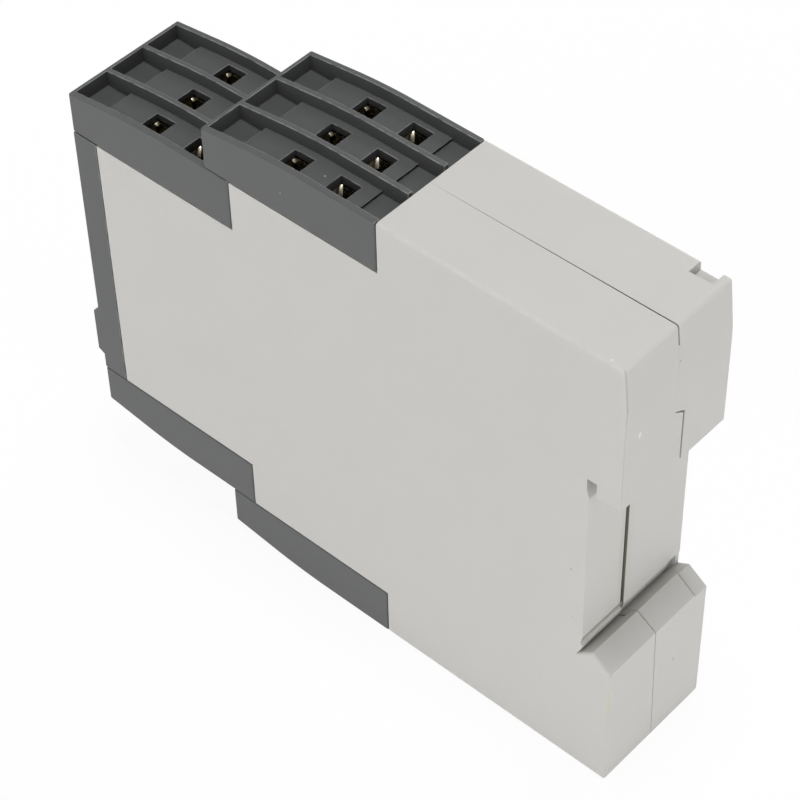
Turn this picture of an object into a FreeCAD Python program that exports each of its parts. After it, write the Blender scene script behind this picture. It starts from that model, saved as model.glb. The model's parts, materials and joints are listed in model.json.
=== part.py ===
"""Rail-mounted monitoring relay: a slim two-shell housing with stepped terminal blocks."""
import FreeCAD, Part
import math
import os

V = FreeCAD.Vector

# Overall size, in millimetres. X is the width, Y runs from front to rear, Z is up.
# The origin is the middle of the footprint, on the underside.
width = 22.5
height = 85.6
depth = 103.7            # from the front plate to the rear face
marker_rise = 1.2        # raised band across the front plate
seam = 0.15              # gap where two mouldings meet

# Housing shells
wall = 1.5
edge_round = 0.5         # outer long edges
corner_round = 0.6       # top rear corner
foot_end_round = 0.5     # open end of the foot, right shell
seam_x = 0.4             # where the two shells meet, off the middle
shell_gap = 0.02
top_gap = 0.28           # the top seam opens towards the rear
top_gap_length = 36.0
top_gap_drop = 3.4
foot_gap = 0.12          # the seam is wider down the foot
lean = 0.75              # the rear face leans forward above the hook
lean_height = 7.0

# Rail recess in the rear face, measured from the rear face and from the middle height
rail_seat = 5.2
hook_edge = 16.8
hook_inner = 4.1
lip_groove_top = 19.3
lip_groove_low = 15.7
lip_groove_depth = 0.5   # deeper than the seat
seat_low = 14.9          # the seat ends here, rounded, and falls away into the foot groove
seat_round = 3.0
foot_groove = 17.4       # bottom of the groove, a V
foot_groove_depth = 0.8
foot_inner = 3.4
foot_tip = 15.75
foot_slope_end = 18.15
seat_slot_x = 2.35       # open slot between the shells on the seat
seat_slot = 0.8
seat_slot_low = 14.6
foot_step = 4.7          # the seam steps sideways in the foot groove, this far from the rear face
foot_seam = (0.0, 0.95)  # and leans down the foot: where it ends and where it starts
tongue_x = 1.32          # the right shell reaches this far over at the hook
tongue_top = 26.1
tongue_slant = 1.2       # its top edge rises towards the right
tongue_gap = 0.35
tongue_top_gap = 0.2
scoop_top = 13.7         # right shell only: a scoop over the foot groove, and a ridge below it
scoop_low = 15.0
scoop_depth = 0.35
scoop_step = 0.12
ridge_low = 16.6
ridge_back = 0.1
cheek_width = 2.75       # left shell only: the foot's outer end is lower, with a groove beside it
cheek_drop = 0.4
cheek_groove = (0.2, 1.0)    # wide and deep
groove_end_wall = 0.85   # closes the foot groove
groove_end_set = 0.1     # behind the seat
edge_notch = (2.7, 3.8, 1.6)     # far top edge: across, along and down
edge_notch_from_rear = 2.1

# Rail spring, a bowed leaf at the top of the hook's groove
spring_span = 14.0
spring_bow = 1.0
spring_thick = 0.3
spring_width = 1.0

# Front plate
bezel_side = 4.75        # width of its strip on the housing's side
bezel_wall = 1.2
bezel_plate = 1.5
marker_from_base = 3.54  # raised band, above the plate's lower edge
marker_height = 8.4
marker_slope_top = 1.3
marker_slope_low = 0.6

# Terminal blocks, four alike. Lengths run rearward from a block's front face.
block_height = 8.98
tier_step = 28.1         # the rear tier stands this far behind the front tier
block_depth = 32.75
rim_wall = 1.0
front_rim = 0.75
rib = 0.9
rib_gap = 0.4            # ribs end short of the housing
rim_drop = 1.75          # the rim falls towards the front
rim_bend = 14.0
rim_bend_round = 100.0
floor_drop = 2.1         # raised floor, below the rim
floor_step = 5.7
rear_step = 27.65
rear_drop = 0.5
floor_lip = 0.15         # the raised floor overhangs its rear step
floor_slot = 1.2
wire_hole = (3.9, 3.75)  # across and along
wire_hole_first = 14.5
wire_hole_pitch = 8.65
ceiling = 1.48           # plastic over the clamps
cell_width = 5.3
cell_side_wall = 1.25
cell_rear_wall = 3.75

# Clamps: a screw draws a two-chamber cage forward over two fixed tongues
cage_inside = 3.7
cage_wall = 0.6
cage_bar = 0.9
cage_nut = 1.6
cage_lift = 0.5          # above the strip
cage_clear = 0.3         # below the cell's ceiling
cage_travel = 3.0
cage_run_out = 0.5
cage_corner = 0.6
chamber_slack = 0.1
tongue_thick = 0.8
tongue_width = 3.0
tongue_gap_front = 0.45
screw_height = 2.25
screw_head_r = 1.8
screw_head_length = 2.0
screw_shank_r = 1.3
screw_fit = 0.1          # head in its channel
shank_fit = 0.05
screw_end_play = 0.1
screw_shoulder = 1.8
screw_slot = (0.6, 0.9)  # wide and deep
channel_skin = 0.55      # plastic over the screw channel
bus_thick = 0.8
bus_seat = 2.0           # length of strip held under the block
bus_drop = 3.5
bus_leg = 1.0
bus_leg_pitch = 1.6

# Circuit boards
board = 1.6
board_standoff = 0.55
board_clear = 1.0
post_side = 4.0
post_inset = 6.0
front_post_side = 2.0
front_post_inset = 1.4
component_height = 4.0   # pots and code switch, front board to front plate
component_gap = 0.1

# Controls on the front plate
light_size = (3.0, 1.8)  # across and high
light_fit = 0.1
light_side_gap = 0.45    # from the front board's posts
led_length = 1.4
knob_r = 3.75
knob_fit = 0.1
knob_thick = 1.3
knob_recess = 0.3
knob_stem_side = 2.4
knob_stem_fit = 0.05
knob_stem_length = 2.4
knob_slot = (1.0, 0.6)
knob_count = 3
pot_side = 8.0
switch_size = (11.2, 6.4)
switch_window_margin = 0.3
slider_count = 4
slider_pitch = 2.54
slider_size = (1.2, 1.6)
slider_fit = 0.1
slider_travel = 2.0
slider_rise = 0.8
slider_depth = 1.0

# Relays and supply parts on the main board
relay_length = 28.0
relay_width = 10.0
relay_height = 12.0
relay_base = 1.2
relay_wall = 0.7
relay_from_rear = 30.0
relay_from_middle = 12.0
bobbin_r = 3.2
bobbin_length = 13.0
bobbin_flange = 0.8
coil_corner = 1.2
core_side = 2.4
winding_fit = 0.05       # round the relay's core and the transformer's
pole_rise = 0.4
yoke_thick = 1.0
yoke_width = 6.0
armature_thick = 0.8
armature_gap = 0.8
armature_height = 7.5
hinge_clear = 0.15
core_size = (20.0, 18.0, 7.0)    # transformer laminations: along, high, thick
winding_size = (12.0, 14.0, 13.0)
transformer_from_front = 38.0
capacitor_r = 4.0
capacitor_height = 12.0
capacitor_from_front = 19.5
capacitor_from_middle = 10.0

# Places worked out from the sizes above
half = width / 2
mid = height / 2
rear = (depth + marker_rise) / 2
front_half = mid - 2 * block_height
tier_half = front_half + block_height
front_tier_end = depth - block_depth
rear_tier_front = depth - tier_step
rear_tier_end = rear_tier_front - block_depth
shell_front = depth - bezel_side - seam
groove_wall = rail_seat + lip_groove_depth
foot_wall = rail_seat + foot_groove_depth
pitch = half - cell_side_wall - cell_width / 2
columns = (-pitch, 0.0, pitch)
raised_floor = block_height - floor_drop
cell_top = raised_floor - ceiling
channel_r = screw_head_r + screw_fit
low_floor = screw_height + channel_r + channel_skin
holes = (wire_hole_first, wire_hole_first + wire_hole_pitch)
chamber_half = wire_hole[1] / 2 + chamber_slack
nut_rear = holes[0] - chamber_half - tongue_thick - tongue_gap_front
nut_front = nut_rear - cage_nut
cell_front = nut_front - cage_travel - cage_run_out
cell_rear = block_depth - cell_rear_wall
cage_top = cell_top - cage_clear
channel_end = cell_front - screw_shoulder
board_face = -half + wall + board_standoff + board
front_board_face = depth - bezel_plate - component_gap - component_height
main_board_front = front_board_face - board
marker_low = front_half - marker_from_base
marker_top = marker_low - marker_height
marker_mid = (marker_top + marker_low) / 2
front_post_x = half - bezel_wall - front_post_inset - front_post_side / 2
front_post_z = front_half - bezel_wall - front_post_inset - front_post_side / 2
light_pitch = front_post_x - front_post_side / 2 - light_side_gap - light_size[0] / 2

# The lights and knobs share the plate between its upper wall and the band, with even gaps
light_hole = (light_size[0] + 2 * light_fit, light_size[1] + 2 * light_fit)
knob_hole_r = knob_r + knob_fit
control_top = front_half - seam - bezel_wall
control_space = control_top + marker_top - marker_slope_top
control_gap = (control_space - light_hole[1] - knob_count * 2 * knob_hole_r) / (knob_count + 2)
light_height = control_top - control_gap - light_hole[1] / 2
knob_first = light_height - light_hole[1] / 2 - control_gap - knob_hole_r
knob_pitch = 2 * knob_hole_r + control_gap


def from_rear(distance):
    """Y of a place that lies this far in front of the rear face."""
    return rear - distance


def box(x0, x1, y0, y1, z0, z1):
    return Part.makeBox(x1 - x0, y1 - y0, z1 - z0, V(x0, y0, z0))


def rod(radius, start, end):
    """Round bar between two points."""
    along = end - start
    return Part.makeCylinder(radius, along.Length, start, along)


def outline(corners):
    """Closed face in the side plane, from (y, z) or (y, z, radius) corners."""
    ends = []
    for i, corner in enumerate(corners):
        here = V(0, corner[0], corner[1])
        radius = corner[2] if len(corner) > 2 else 0
        before = corners[i - 1]
        after = corners[(i + 1) % len(corners)]
        back = (V(0, before[0], before[1]) - here).normalize()
        ahead = (V(0, after[0], after[1]) - here).normalize()
        if radius == 0:
            ends.append((here, None, here))
            continue
        half_angle = back.getAngle(ahead) / 2
        reach = radius / math.tan(half_angle)
        inward = (back + ahead).normalize()
        on_arc = here + inward * (radius / math.sin(half_angle) - radius)
        ends.append((here + back * reach, on_arc, here + ahead * reach))
    edges = []
    for i, (start, on_arc, stop) in enumerate(ends):
        if on_arc is not None:
            edges.append(Part.Arc(start, on_arc, stop).toShape())
        edges.append(Part.LineSegment(stop, ends[(i + 1) % len(ends)][0]).toShape())
    return Part.Face(Part.Wire(edges))


def prism(corners, x0, x1):
    """Side outline carried across the width."""
    face = outline(corners)
    face.translate(V(x0, 0, 0))
    return face.extrude(V(x1 - x0, 0, 0))


def side_prism(corners, x0, x1):
    """Prism from corners given as distance from the rear face and height above the middle."""
    placed = [(from_rear(c[0]), mid + c[1]) + tuple(c[2:]) for c in corners]
    return prism(placed, x0, x1)


def bevel_along(solid, direction, size):
    """Bevels every edge that runs along a direction."""
    chosen = [e for e in solid.Edges if abs(e.tangentAt(e.FirstParameter).dot(direction)) > 0.99]
    return solid.makeChamfer(size, chosen)


def faceted_bar(radius, start, length):
    """Eight-sided bar along Y, its flats at the radius: a plain stand-in for a thread."""
    corner = radius / math.cos(math.pi / 8)
    turns = [math.pi / 8 + i * math.pi / 4 for i in range(9)]
    ring = [start + V(corner * math.cos(a), 0, corner * math.sin(a)) for a in turns]
    return Part.Face(Part.makePolygon(ring)).extrude(V(0, length, 0))


def rim_at(along):
    """Height of a block's rim at a length short of its bend."""
    return block_height - rim_drop * (1 - along / rim_bend)


# Housing: one closed form, hollowed, opened for the terminals, then parted into two shells

def edges_on_side(solid, wanted):
    """Edges lying in the housing's two sides whose middle is wanted."""
    found = []
    for edge in solid.Edges:
        at = edge.CenterOfMass
        if abs(abs(at.x) - half) < 1e-6 and edge.BoundBox.XLength < 1e-6 and wanted(at):
            found.append(edge)
    return found


def top_of_foot(at):
    """Whether a point is on the foot's slope, or on the groove's floor behind its tip."""
    return at.y > from_rear(rail_seat) and -foot_slope_end < at.z - mid < -foot_tip


def housing_form():
    upper = [
        (shell_front, front_half - seam), (front_tier_end - seam, front_half - seam),
        (front_tier_end - seam, tier_half - seam), (rear_tier_end - seam, tier_half - seam),
        (rear_tier_end - seam, mid), (lean, mid, corner_round), (0, mid - lean_height),
    ]
    recess = [
        (0, hook_edge), (hook_inner, hook_edge), (hook_inner, lip_groove_top),
        (groove_wall, lip_groove_top), (groove_wall, lip_groove_low), (rail_seat, lip_groove_low),
        (rail_seat, -seat_low, seat_round), (foot_wall, -foot_groove),
        (foot_inner, -foot_tip), (0, -foot_slope_end),
    ]
    lower = [(d, -h) for d, h in [(0, mid)] + [c[:2] for c in upper[4::-1]]]
    solid = side_prism(upper + recess + lower, -half, half)
    foot_ends = edges_on_side(solid, lambda at: at.x > 0 and top_of_foot(at))
    solid = solid.makeFillet(foot_end_round, foot_ends)
    long_edges = edges_on_side(solid, lambda at: abs(abs(at.z - mid) - mid) < 1e-6)
    return solid.makeFillet(edge_round, long_edges)


def housing_hollow():
    upper = [
        (shell_front + wall, front_half - wall), (front_tier_end - wall, front_half - wall),
        (front_tier_end - wall, tier_half - wall), (rear_tier_end - wall, tier_half - wall),
        (rear_tier_end - wall, mid - wall), (lean + wall, mid - wall),
        (lean + wall, lip_groove_top + wall), (groove_wall + wall, lip_groove_top + wall),
    ]
    lower = [(d, -h) for d, h in upper[::-1]]
    lower[0] = (groove_wall + wall, -(foot_slope_end + wall))
    lower[1] = (lean + wall, -(foot_slope_end + wall))
    return side_prism(upper + lower, -half + wall, half - wall)


def terminal_window(front, base, foremost):
    """Opening under a block that its clamps and strips pass through."""
    reach = half - wall
    first = min(foremost, front - rim_wall)
    last = front - block_depth + wall
    return box(-reach, reach, from_rear(first), from_rear(last), mid + base - 2 * wall, mid + base + wall)


def both_ways_up(solid):
    """A solid with its twin, turned half round the housing's long axis."""
    twin = solid.copy()
    twin.rotate(V(0, 0, mid), V(0, 1, 0), 180)
    return [solid, twin]


def housing_zone(x0, x1, d0, d1, h0, h1):
    """Box between two distances from the rear face and two heights above the middle."""
    return box(x0, x1, from_rear(d1), from_rear(d0), mid + h0, mid + h1)


def rear_prism(corners, d0, d1):
    """Prism from corners across the width and above the middle, between two distances from the rear face."""
    ring = [V(x, from_rear(d1), mid + h) for x, h in corners]
    return Part.Face(Part.makePolygon(ring + ring[:1])).extrude(V(0, d1 - d0, 0))


def make_shells():
    form = housing_form().cut(housing_hollow())
    windows = []
    windows += both_ways_up(terminal_window(depth, front_half, depth))
    windows += both_ways_up(terminal_window(rear_tier_front, tier_half, front_tier_end - wall))
    for window in windows:
        form = form.cut(window)
    every = height
    back_wall = groove_wall + wall + 1
    reach = -tongue_x - tongue_gap
    slant_top = tongue_top + tongue_slant
    tongue_right = rear_prism([
        (-tongue_x, 0), (seam_x, 0), (seam_x, slant_top), (-tongue_x, tongue_top),
    ], -1, hook_inner)
    tongue_left = rear_prism([
        (reach, 0), (seam_x, 0), (seam_x, slant_top + tongue_top_gap), (reach, tongue_top + tongue_top_gap),
    ], -1, hook_inner)
    slot_edge = seat_slot_x - seat_slot / 2
    slot_right = housing_zone(-tongue_x, seat_slot_x + seat_slot / 2, hook_inner, back_wall,
                              -seat_slot_low, lip_groove_top)
    slot_left = housing_zone(seam_x - shell_gap, slot_edge, hook_inner, back_wall,
                             -seat_slot_low, lip_groove_top)
    step_low = -foot_groove - wall
    step_right = housing_zone(-tongue_x, slot_edge + foot_gap, foot_step - foot_gap, back_wall,
                              step_low - foot_gap, -seat_slot_low)
    step_left = housing_zone(seam_x - shell_gap, slot_edge, foot_step, back_wall, step_low, -seat_slot_low)
    seam_low, seam_high = foot_seam
    foot_low, foot_high = -mid - 1, -seat_slot_low
    foot_zone = housing_zone(-slot_edge, slot_edge, -1, foot_step - foot_gap, foot_low, foot_high)
    foot_bridge = housing_zone(-slot_edge, slot_edge, foot_step - foot_gap, foot_step, step_low, foot_high)
    foot_left = rear_prism([
        (-slot_edge, foot_low), (seam_low - foot_gap, foot_low),
        (seam_high - foot_gap, foot_high), (-slot_edge, foot_high),
    ], -1, foot_step).common(foot_zone.fuse(foot_bridge))
    foot_right = rear_prism([
        (seam_low, foot_low), (slot_edge, foot_low), (slot_edge, foot_high), (seam_high, foot_high),
    ], -1, foot_step - foot_gap)
    right_zone = box(seam_x, width, -depth, depth, -every, 2 * every)
    right_zone = right_zone.fuse(tongue_right).cut(slot_right).cut(step_right)
    right_zone = right_zone.cut(foot_zone).fuse(foot_right)
    left_zone = box(-width, seam_x - shell_gap, -depth, depth, -every, 2 * every)
    left_zone = left_zone.cut(tongue_left).fuse(slot_left).fuse(step_left)
    left_zone = left_zone.cut(foot_zone).fuse(foot_left)
    right = form.common(right_zone)
    left = form.common(left_zone)

    # The top seam widens towards the rear, on the left shell's side
    low = height - top_gap_drop
    opening = Part.Face(Part.makePolygon([
        V(seam_x - shell_gap, from_rear(top_gap_length), low), V(seam_x - top_gap, from_rear(-1), low),
        V(seam_x + 1, from_rear(-1), low), V(seam_x + 1, from_rear(top_gap_length), low),
        V(seam_x - shell_gap, from_rear(top_gap_length), low),
    ])).extrude(V(0, 0, height))
    left = left.cut(opening)

    # Scoop over the foot groove, and the ridge between them
    ridge = side_prism([
        (rail_seat, -scoop_low), (rail_seat + ridge_back, -ridge_low), (foot_wall, -foot_groove),
        (foot_wall + ridge_back, -foot_groove), (foot_wall + ridge_back, -scoop_top), (rail_seat, -scoop_top),
    ], slot_edge + foot_gap, half)
    scoop = side_prism([
        (rail_seat - 1, -scoop_top), (rail_seat, -scoop_top),
        (rail_seat + scoop_depth, -scoop_top - scoop_step),
        (rail_seat, -scoop_low), (rail_seat - 1, -scoop_low),
    ], seat_slot_x, half + 1)
    right = right.fuse(ridge).cut(scoop)

    # Cheek at the foot's outer end, with a groove beside it, and the end wall of the foot groove
    cheek_edge = -half + cheek_width
    cheek_low = -foot_slope_end - wall
    groove_wide, groove_deep = cheek_groove
    left = left.cut(housing_zone(-half - 1, cheek_edge, -1, foot_wall, cheek_low, -seat_low))
    cheek = side_prism([
        (0, cheek_low), (0, -foot_slope_end - cheek_drop), (foot_inner, -foot_tip - cheek_drop),
        (foot_wall, -foot_groove), (foot_wall, cheek_low),
    ], -half, cheek_edge)
    beside = side_prism([
        (0, -foot_slope_end), (foot_inner, -foot_tip), (foot_inner, -foot_tip - groove_deep),
    ], cheek_edge - groove_wide, cheek_edge)
    end_face = rail_seat + groove_end_set
    end_back = foot_wall + groove_end_set
    end_wall = side_prism([
        (foot_inner, -foot_tip - cheek_drop), (end_face, -foot_groove), (end_face, -scoop_top),
        (end_back, -scoop_top), (end_back, cheek_low), (foot_inner, cheek_low),
    ], -half, -half + groove_end_wall)
    left = left.fuse(cheek).cut(beside).fuse(end_wall)

    # Notch in the far top edge
    across, along, down = edge_notch
    notch = housing_zone(-half - 1, -half + across, edge_notch_from_rear, edge_notch_from_rear + along,
                         mid - down, mid + 1)
    left = left.cut(notch)

    # Posts that carry the main board
    for d in (main_board_front - post_inset, groove_wall + wall + board_clear + post_inset):
        for h in (-(front_half - wall - post_inset), front_half - wall - post_inset):
            post = housing_zone(-half + wall, -half + wall + board_standoff, d - post_side / 2,
                                d + post_side / 2, h - post_side / 2, h + post_side / 2)
            left = left.fuse(post)
    return right.removeSplitter(), left.removeSplitter()


def make_rail_spring():
    """Bowed leaf with both ends against the top of the hook's groove."""
    y = from_rear(groove_wall) + (groove_wall - hook_inner - spring_width) / 2
    top = mid + lip_groove_top
    end = spring_span / 2
    left_top, left_low = V(-end, y, top), V(-end, y, top - spring_thick)
    right_top, right_low = V(end, y, top), V(end, y, top - spring_thick)
    bow = V(0, 0, -spring_bow)
    upper = Part.Arc(left_top, V(0, y, top) + bow, right_top)
    lower = Part.Arc(right_low, V(0, y, top - spring_thick) + bow, left_low)
    edges = [
        upper.toShape(), Part.LineSegment(right_top, right_low).toShape(),
        lower.toShape(), Part.LineSegment(left_low, left_top).toShape(),
    ]
    return Part.Face(Part.Wire(edges)).extrude(V(0, spring_width, 0))


# Terminal block and its clamps, drawn with the front face at y = 0 and the base at z = 0

def make_block():
    body = prism([
        (0, 0), (0, block_height - rim_drop), (rim_bend, block_height, rim_bend_round),
        (block_depth, block_height), (block_depth, 0),
    ], -half, half)
    over = block_height + 1
    pocket = [
        (front_rim, over), (front_rim, low_floor), (floor_step, low_floor),
        (floor_step, rim_at(floor_step) - floor_drop), (rim_bend, raised_floor, rim_bend_round),
        (rear_step, raised_floor), (rear_step, raised_floor - rear_drop),
        (block_depth + 1, raised_floor - rear_drop), (block_depth + 1, over),
    ]
    inner = half - rim_wall
    rib_from = (pitch - rib) / 2
    rib_to = (pitch + rib) / 2
    for x0, x1 in ((-inner, -rib_to), (-rib_from, rib_from), (rib_to, inner)):
        body = body.cut(prism(pocket, x0, x1))
        body = body.cut(box(x0, x1, rear_step - floor_slot, rear_step + floor_slot,
                            raised_floor - rear_drop, raised_floor - floor_lip))
    body = body.cut(box(-inner, inner, block_depth - rib_gap, block_depth + 1, raised_floor - rear_drop, over))
    for x in columns:
        body = body.cut(box(x - cell_width / 2, x + cell_width / 2, cell_front, cell_rear, -1, cell_top))
        for along in holes:
            body = body.cut(box(x - wire_hole[0] / 2, x + wire_hole[0] / 2,
                                along - wire_hole[1] / 2, along + wire_hole[1] / 2, cell_top - 1, over))
        axis = V(x, 0, screw_height)
        body = body.cut(rod(channel_r, axis - V(0, 1, 0), axis + V(0, channel_end, 0)))
        shank_half = screw_shank_r + shank_fit
        body = body.cut(box(x - shank_half, x + shank_half, channel_end - screw_end_play, cell_front + 1,
                            -1, screw_height + shank_half))
    return body


def make_cage():
    """Two-chamber frame with a threaded front wall, at its open end of travel."""
    inner_half = cage_inside / 2
    outer_half = inner_half + cage_wall
    low = cage_lift
    bars = [hole + chamber_half for hole in holes]
    cage = box(-outer_half, outer_half, nut_front, bars[1] + cage_bar, low, cage_top)
    cage = bevel_along(cage, V(0, 0, 1), cage_corner)
    for y0, y1 in ((nut_rear, bars[0]), (bars[0] + cage_bar, bars[1])):
        cage = cage.cut(box(-inner_half, inner_half, y0, y1, low - 1, cage_top + 1))
    thread = faceted_bar(screw_shank_r + shank_fit, V(0, nut_front - 1, screw_height), cage_nut + 2)
    return cage.cut(thread)


def make_screw():
    under_head = channel_end - screw_end_play
    face = under_head - screw_head_length
    axis = V(0, 0, screw_height)
    tip = nut_rear + tongue_gap_front / 2
    head = rod(screw_head_r, axis + V(0, face, 0), axis + V(0, under_head, 0))
    shank_flat = screw_shank_r * math.cos(math.pi / 8)
    shank = faceted_bar(shank_flat, axis + V(0, under_head, 0), tip - under_head)
    slot_wide, slot_deep = screw_slot
    slot = box(-slot_wide / 2, slot_wide / 2, face - 1, face + slot_deep,
               screw_height - 2 * screw_head_r, screw_height + 2 * screw_head_r)
    return head.fuse(shank).cut(slot).removeSplitter()


def make_bus_bar(column):
    """Two clamping tongues on a strip, with a leg that turns to the main board."""
    x = columns[column]
    side = tongue_width / 2
    tongues = [hole - chamber_half - tongue_thick for hole in holes]
    strip = box(x - side, x + side, tongues[0], cell_rear + bus_seat, -bus_thick, 0)
    for start in tongues:
        strip = strip.fuse(box(x - side, x + side, start, start + tongue_thick, -bus_thick, cage_top))
    leg_end = cell_rear + bus_seat - (2 - column) * bus_leg_pitch
    leg_low = -bus_thick - bus_drop
    reach = x - columns[0] + board_face + bus_leg
    strip = strip.fuse(box(reach - bus_leg, reach, leg_end - bus_leg, leg_end, leg_low, 0))
    strip = strip.fuse(box(board_face, reach, leg_end - bus_leg, leg_end, leg_low, leg_low + bus_leg))
    return strip.removeSplitter()


def place_terminal(shape, front, base, mirrored):
    """Moves a terminal piece to its tier, mirrored in the middle height for the lower tiers."""
    shape = shape.copy()
    shape.translate(V(0, from_rear(front), mid + base))
    if mirrored:
        shape = shape.mirror(V(0, 0, mid), V(0, 0, 1))
    return shape


# Front plate and the controls behind it

def control_rows():
    """Heights of the adjusting knobs, from the top."""
    return [mid + knob_first - i * knob_pitch for i in range(knob_count)]


def light_places():
    return (-light_pitch, 0, light_pitch)


def make_bezel():
    front = from_rear(depth)
    back = from_rear(depth - bezel_side)
    low, high = mid - front_half + seam, mid + front_half - seam
    bezel = box(-half, half, front, back, low, high)
    bezel = bezel.cut(box(-half + bezel_wall, half - bezel_wall, front + bezel_plate, back + 1,
                          low + bezel_wall, high - bezel_wall))
    band = side_prism([
        (depth, -marker_top + marker_slope_top), (depth + marker_rise, -marker_top),
        (depth + marker_rise, -marker_low), (depth, -marker_low - marker_slope_low),
    ], -half, half)
    bezel = bezel.fuse(band)
    board_face_y = from_rear(front_board_face)
    side = front_post_side / 2
    for x in (-front_post_x, front_post_x):
        for z in (mid - front_post_z, mid + front_post_z):
            bezel = bezel.fuse(box(x - side, x + side, front + bezel_plate / 2, board_face_y,
                                   z - side, z + side))
    through = 2 * (bezel_plate + marker_rise)
    wide, tall = light_hole
    for x in light_places():
        bezel = bezel.cut(box(x - wide / 2, x + wide / 2, front - 1, front + through,
                              mid + light_height - tall / 2, mid + light_height + tall / 2))
    for z in control_rows():
        eye = V(0, front - 1, z)
        bezel = bezel.cut(rod(knob_hole_r, eye, eye + V(0, through, 0)))
    across, high = switch_size
    margin = switch_window_margin
    bezel = bezel.cut(box(-across / 2 - margin, across / 2 + margin, front - marker_rise - 1, front + through,
                          mid - marker_mid - high / 2 - margin, mid - marker_mid + high / 2 + margin))
    return bezel.removeSplitter()


def make_lights():
    """Light guides in the front plate, and the diodes that feed them."""
    front = from_rear(depth)
    face = from_rear(front_board_face)
    wide, tall = light_size
    low, high = mid + light_height - tall / 2, mid + light_height + tall / 2
    guides, diodes = [], []
    for x in light_places():
        guides.append(box(x - wide / 2, x + wide / 2, front, face - led_length, low, high))
        diodes.append(box(x - wide / 2, x + wide / 2, face - led_length, face, low, high))
    return Part.makeCompound(guides), Part.makeCompound(diodes)


def make_knob(z):
    front = from_rear(depth) + knob_recess
    back = front + knob_thick
    knob = rod(knob_r, V(0, front, z), V(0, back, z))
    side = knob_stem_side / 2
    knob = knob.fuse(box(-side, side, back, back + knob_stem_length, z - side, z + side))
    slot_wide, slot_deep = knob_slot
    pointer = box(-slot_wide / 2, slot_wide / 2, front - 1, front + slot_deep, z - slot_wide, z + 2 * knob_r)
    return knob.cut(pointer).removeSplitter()


def make_potentiometers():
    knob_back = from_rear(depth) + knob_recess + knob_thick
    front = from_rear(depth - bezel_plate - component_gap)
    face = from_rear(front_board_face)
    bore = knob_stem_side / math.sqrt(2) + knob_stem_fit
    bore_end = knob_back + knob_stem_length + component_gap
    pots = []
    for z in control_rows():
        pot = box(-pot_side / 2, pot_side / 2, front, face, z - pot_side / 2, z + pot_side / 2)
        pots.append(pot.cut(box(-bore, bore, front - 1, bore_end, z - bore, z + bore)))
    return Part.makeCompound(pots)


def slider_places():
    first = -(slider_count - 1) / 2 * slider_pitch
    return [first + i * slider_pitch for i in range(slider_count)]


def make_code_switch():
    """Switch body with one slot for each slider, and the sliders at their lower place."""
    across, high = switch_size
    wide, tall = slider_size
    front = from_rear(depth - bezel_plate - component_gap)
    z = mid - marker_mid
    body = box(-across / 2, across / 2, front, from_rear(front_board_face), z - high / 2, z + high / 2)
    low = z - (tall + slider_travel) / 2
    sliders = []
    for x in slider_places():
        body = body.cut(box(x - wide / 2 - slider_fit, x + wide / 2 + slider_fit, front - 1,
                            front + slider_depth + slider_fit, low - slider_fit,
                            low + tall + slider_travel + slider_fit))
        sliders.append(box(x - wide / 2, x + wide / 2, front - slider_rise, front + slider_depth,
                           low, low + tall))
    return body, sliders


def make_boards():
    side = half - bezel_wall - front_post_inset / 2
    tall = front_half - bezel_wall - front_post_inset / 2
    face = from_rear(front_board_face)
    front_board = box(-side, side, face, face + board, mid - tall, mid + tall)
    upper = [
        (main_board_front, front_half - wall - board_clear),
        (front_tier_end - wall - board_clear, front_half - wall - board_clear),
        (front_tier_end - wall - board_clear, tier_half - wall - board_clear),
        (groove_wall + wall + board_clear, tier_half - wall - board_clear),
    ]
    lower = [(d, -h) for d, h in upper[::-1]]
    main_board = side_prism(upper + lower, board_face - board, board_face)
    return front_board, main_board


# Output relays and supply parts, standing on the main board

def make_relay(middle):
    """Base, cover, magnet and swinging armature of one output relay."""
    y = from_rear(relay_from_rear)
    y0, y1 = y - relay_length / 2, y + relay_length / 2
    z0, z1 = middle - relay_width / 2, middle + relay_width / 2
    floor = board_face + relay_base
    top = board_face + relay_height
    base = box(board_face, floor, y0, y1, z0, z1)
    cover = box(floor, top, y0, y1, z0, z1)
    cover = cover.cut(box(floor - 1, top - relay_wall, y0 + relay_wall, y1 - relay_wall,
                          z0 + relay_wall, z1 - relay_wall))
    axis_x = floor + yoke_thick + bobbin_r + bobbin_flange
    coil0 = y - bobbin_length / 2
    coil1 = y + bobbin_length / 2
    flange = bobbin_r + bobbin_flange
    coil = box(axis_x - bobbin_r, axis_x + bobbin_r, coil0, coil1, middle - bobbin_r, middle + bobbin_r)
    coil = bevel_along(coil, V(0, 1, 0), coil_corner)
    for start in (coil0, coil1 - bobbin_flange):
        coil = coil.fuse(box(axis_x - flange, axis_x + flange, start, start + bobbin_flange,
                             middle - flange, middle + flange))
    side = core_side / 2
    bore = side + winding_fit
    coil = coil.cut(box(axis_x - bore, axis_x + bore, coil0 - 1, coil1 + 1, middle - bore, middle + bore))
    core = box(axis_x - side, axis_x + side, coil0 - pole_rise, coil1, middle - side, middle + side)
    yoke_z0, yoke_z1 = middle - yoke_width / 2, middle + yoke_width / 2
    yoke_front = coil0 - pole_rise
    yoke = box(floor, floor + yoke_thick, yoke_front, coil1 + yoke_thick, yoke_z0, yoke_z1)
    yoke = yoke.fuse(box(floor, axis_x + bobbin_r, coil1, coil1 + yoke_thick, yoke_z0, yoke_z1))
    magnet = Part.makeCompound([coil.removeSplitter(), yoke.fuse(core).removeSplitter()])
    plate_back = yoke_front - armature_gap
    lever = box(floor + hinge_clear, floor + hinge_clear + armature_height,
                plate_back - armature_thick, plate_back, yoke_z0, yoke_z1)
    return base, cover, magnet, lever


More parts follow.
